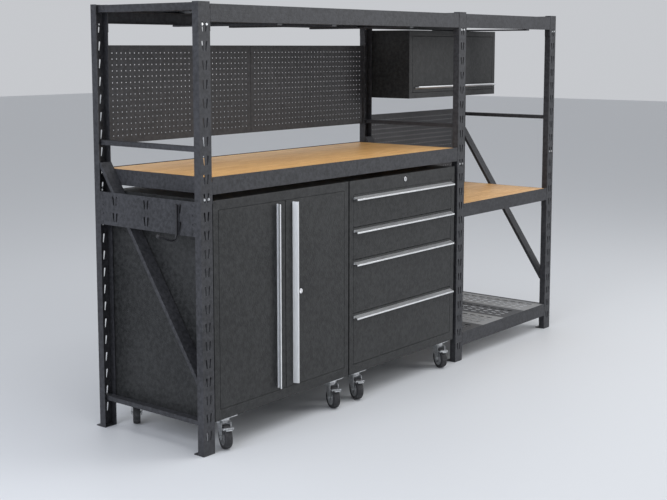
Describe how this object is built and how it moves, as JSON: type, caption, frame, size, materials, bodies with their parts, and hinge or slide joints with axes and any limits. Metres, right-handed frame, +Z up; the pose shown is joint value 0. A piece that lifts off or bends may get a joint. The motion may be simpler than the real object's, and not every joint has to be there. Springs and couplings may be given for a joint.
{
  "type": "workbench with drawers",
  "caption": "Steel garage workbench rack with a wooden worktop, rolling door and drawer cabinets, a wall cabinet, pegboards and perforated decks.",
  "frame": {"origin": "middle of the footprint's bounding box, on the floor", "axes": "+X to the right along the bench, +Y from the front to the rear, +Z up"},
  "size_m": [3.005, 0.7042, 1.829],
  "materials": {
    "charcoal_steel": "hammered powder coat",
    "deck_steel": "galvanised grey sheet",
    "oak_board": "oiled oak veneer",
    "pull_aluminium": "satin anodised",
    "bright_steel": "zinc plated",
    "lock_chrome": "polished",
    "wheel_rubber": "dark rubber with grey hub",
    "hook_paint": "black coat"
  },
  "bodies": {
    "rack": {"post_left": "charcoal_steel", "post_middle": "charcoal_steel", "post_right": "charcoal_steel", "end_frame_left": "charcoal_steel", "end_frame_middle": "charcoal_steel", "end_frame_right": "charcoal_steel", "foot_plates": "charcoal_steel", "top_beams": "charcoal_steel", "worktop_beams": "charcoal_steel", "shelf_beams": "charcoal_steel", "bottom_beams": "charcoal_steel", "deck_supports": "charcoal_steel", "worktop_board": "oak_board", "shelf_board": "oak_board", "top_deck": "deck_steel", "bottom_deck": "deck_steel", "bench_pegboards": "charcoal_steel", "side_pegboard": "charcoal_steel", "side_plate": "charcoal_steel", "tool_hook": "hook_paint", "rack_bolts": "bright_steel", "wall_cabinet_shell": "charcoal_steel"},
    "wall_flap": {"wall_cabinet_door": "charcoal_steel", "wall_cabinet_handle": "pull_aluminium"},
    "door_cabinet": {"door_cabinet_shell": "charcoal_steel", "door_cabinet_shelf": "charcoal_steel", "door_cabinet_caster_plates": "bright_steel"},
    "left_door": {"left_door": "charcoal_steel", "left_door_handle": "pull_aluminium"},
    "right_door": {"right_door": "charcoal_steel", "right_door_handle": "pull_aluminium"},
    "door_lock": {"door_lock": "lock_chrome"},
    "drawer_cabinet": {"drawer_cabinet_shell": "charcoal_steel", "drawer_slides": "bright_steel", "drawer_cabinet_caster_plates": "bright_steel"},
    "drawer_lock": {"drawer_lock": "lock_chrome"},
    "drawer_1": {"drawer_1": "charcoal_steel", "drawer_handle_1": "pull_aluminium"},
    "drawer_2": {"drawer_2": "charcoal_steel", "drawer_handle_2": "pull_aluminium"},
    "drawer_3": {"drawer_3": "charcoal_steel", "drawer_handle_3": "pull_aluminium"},
    "drawer_4": {"drawer_4": "charcoal_steel", "drawer_handle_4": "pull_aluminium"},
    "fork_door_front_left": {"fork_door_front_left": "bright_steel"},
    "wheel_door_front_left": {"wheel_door_front_left": "wheel_rubber"},
    "fork_door_front_right": {"fork_door_front_right": "bright_steel"},
    "wheel_door_front_right": {"wheel_door_front_right": "wheel_rubber"},
    "fork_door_rear_left": {"fork_door_rear_left": "bright_steel"},
    "wheel_door_rear_left": {"wheel_door_rear_left": "wheel_rubber"},
    "fork_door_rear_right": {"fork_door_rear_right": "bright_steel"},
    "wheel_door_rear_right": {"wheel_door_rear_right": "wheel_rubber"},
    "fork_drawer_front_left": {"fork_drawer_front_left": "bright_steel"},
    "wheel_drawer_front_left": {"wheel_drawer_front_left": "wheel_rubber"},
    "fork_drawer_front_right": {"fork_drawer_front_right": "bright_steel"},
    "wheel_drawer_front_right": {"wheel_drawer_front_right": "wheel_rubber"},
    "fork_drawer_rear_left": {"fork_drawer_rear_left": "bright_steel"},
    "wheel_drawer_rear_left": {"wheel_drawer_rear_left": "wheel_rubber"},
    "fork_drawer_rear_right": {"fork_drawer_rear_right": "bright_steel"},
    "wheel_drawer_rear_right": {"wheel_drawer_rear_right": "wheel_rubber"}
  },
  "joints": [
    {"name": "wall_flap_lift", "type": "hinge", "parent": "rack", "child": "wall_flap", "pos_m": [0.9905, 0.0491, 1.7095], "axis": [-1, 0, 0], "range_deg": [0, 90]},
    {"name": "door_cabinet_roll", "type": "slide", "parent": "rack", "child": "door_cabinet", "axis": [0, -1, 0], "range_m": [0, 0.7]},
    {"name": "drawer_cabinet_roll", "type": "slide", "parent": "rack", "child": "drawer_cabinet", "axis": [0, -1, 0], "range_m": [0, 0.7]},
    {"name": "left_door_swing", "type": "hinge", "parent": "door_cabinet", "child": "left_door", "pos_m": [-1.287, -0.3109, 0.588], "axis": [0, 0, -1], "range_deg": [0, 95]},
    {"name": "right_door_swing", "type": "hinge", "parent": "door_cabinet", "child": "right_door", "pos_m": [-0.47, -0.3109, 0.588], "axis": [0, 0, 1], "range_deg": [0, 95]},
    {"name": "door_lock_turn", "type": "hinge", "parent": "right_door", "child": "door_lock", "pos_m": [-0.7795, -0.3109, 0.589], "axis": [0, -1, 0], "range_deg": [0, 90]},
    {"name": "drawer_lock_turn", "type": "hinge", "parent": "drawer_cabinet", "child": "drawer_lock", "pos_m": [0.0095, -0.3109, 1.014], "axis": [0, -1, 0], "range_deg": [0, 90]},
    {"name": "drawer_1_slide", "type": "slide", "parent": "drawer_cabinet", "child": "drawer_1", "axis": [0, -1, 0], "range_m": [0, 0.48]},
    {"name": "drawer_2_slide", "type": "slide", "parent": "drawer_cabinet", "child": "drawer_2", "axis": [0, -1, 0], "range_m": [0, 0.48]},
    {"name": "drawer_3_slide", "type": "slide", "parent": "drawer_cabinet", "child": "drawer_3", "axis": [0, -1, 0], "range_m": [0, 0.48]},
    {"name": "drawer_4_slide", "type": "slide", "parent": "drawer_cabinet", "child": "drawer_4", "axis": [0, -1, 0], "range_m": [0, 0.48]},
    {"name": "swivel_door_front_left", "type": "hinge", "parent": "door_cabinet", "child": "fork_door_front_left", "pos_m": [-1.2345, -0.2709, 0.113], "axis": [0, 0, 1], "continuous": true},
    {"name": "roll_door_front_left", "type": "hinge", "parent": "fork_door_front_left", "child": "wheel_door_front_left", "pos_m": [-1.24903, -0.29941, 0.05], "axis": [0.891, -0.454, 0], "continuous": true},
    {"name": "swivel_door_front_right", "type": "hinge", "parent": "door_cabinet", "child": "fork_door_front_right", "pos_m": [-0.5225, -0.2709, 0.113], "axis": [0, 0, 1], "continuous": true},
    {"name": "roll_door_front_right", "type": "hinge", "parent": "fork_door_front_right", "child": "wheel_door_front_right", "pos_m": [-0.53703, -0.29941, 0.05], "axis": [0.891, -0.454, 0], "continuous": true},
    {"name": "swivel_door_rear_left", "type": "hinge", "parent": "door_cabinet", "child": "fork_door_rear_left", "pos_m": [-1.2345, 0.2611, 0.113], "axis": [0, 0, 1], "continuous": true},
    {"name": "roll_door_rear_left", "type": "hinge", "parent": "fork_door_rear_left", "child": "wheel_door_rear_left", "pos_m": [-1.25549, 0.23695, 0.05], "axis": [0.7547, -0.6561, 0], "continuous": true},
    {"name": "swivel_door_rear_right", "type": "hinge", "parent": "door_cabinet", "child": "fork_door_rear_right", "pos_m": [-0.5225, 0.2611, 0.113], "axis": [0, 0, 1], "continuous": true},
    {"name": "roll_door_rear_right", "type": "hinge", "parent": "fork_door_rear_right", "child": "wheel_door_rear_right", "pos_m": [-0.54349, 0.23695, 0.05], "axis": [0.7547, -0.6561, 0], "continuous": true},
    {"name": "swivel_drawer_front_left", "type": "hinge", "parent": "drawer_cabinet", "child": "fork_drawer_front_left", "pos_m": [-0.3465, -0.2709, 0.113], "axis": [0, 0, 1], "continuous": true},
    {"name": "roll_drawer_front_left", "type": "hinge", "parent": "fork_drawer_front_left", "child": "wheel_drawer_front_left", "pos_m": [-0.36103, -0.29941, 0.05], "axis": [0.891, -0.454, 0], "continuous": true},
    {"name": "swivel_drawer_front_right", "type": "hinge", "parent": "drawer_cabinet", "child": "fork_drawer_front_right", "pos_m": [0.3655, -0.2709, 0.113], "axis": [0, 0, 1], "continuous": true},
    {"name": "roll_drawer_front_right", "type": "hinge", "parent": "fork_drawer_front_right", "child": "wheel_drawer_front_right", "pos_m": [0.35097, -0.29941, 0.05], "axis": [0.891, -0.454, 0], "continuous": true},
    {"name": "swivel_drawer_rear_left", "type": "hinge", "parent": "drawer_cabinet", "child": "fork_drawer_rear_left", "pos_m": [-0.3465, 0.2611, 0.113], "axis": [0, 0, 1], "continuous": true},
    {"name": "roll_drawer_rear_left", "type": "hinge", "parent": "fork_drawer_rear_left", "child": "wheel_drawer_rear_left", "pos_m": [-0.36749, 0.23695, 0.05], "axis": [0.7547, -0.6561, 0], "continuous": true},
    {"name": "swivel_drawer_rear_right", "type": "hinge", "parent": "drawer_cabinet", "child": "fork_drawer_rear_right", "pos_m": [0.3655, 0.2611, 0.113], "axis": [0, 0, 1], "continuous": true},
    {"name": "roll_drawer_rear_right", "type": "hinge", "parent": "fork_drawer_rear_right", "child": "wheel_drawer_rear_right", "pos_m": [0.34451, 0.23695, 0.05], "axis": [0.7547, -0.6561, 0], "continuous": true}
  ]
}
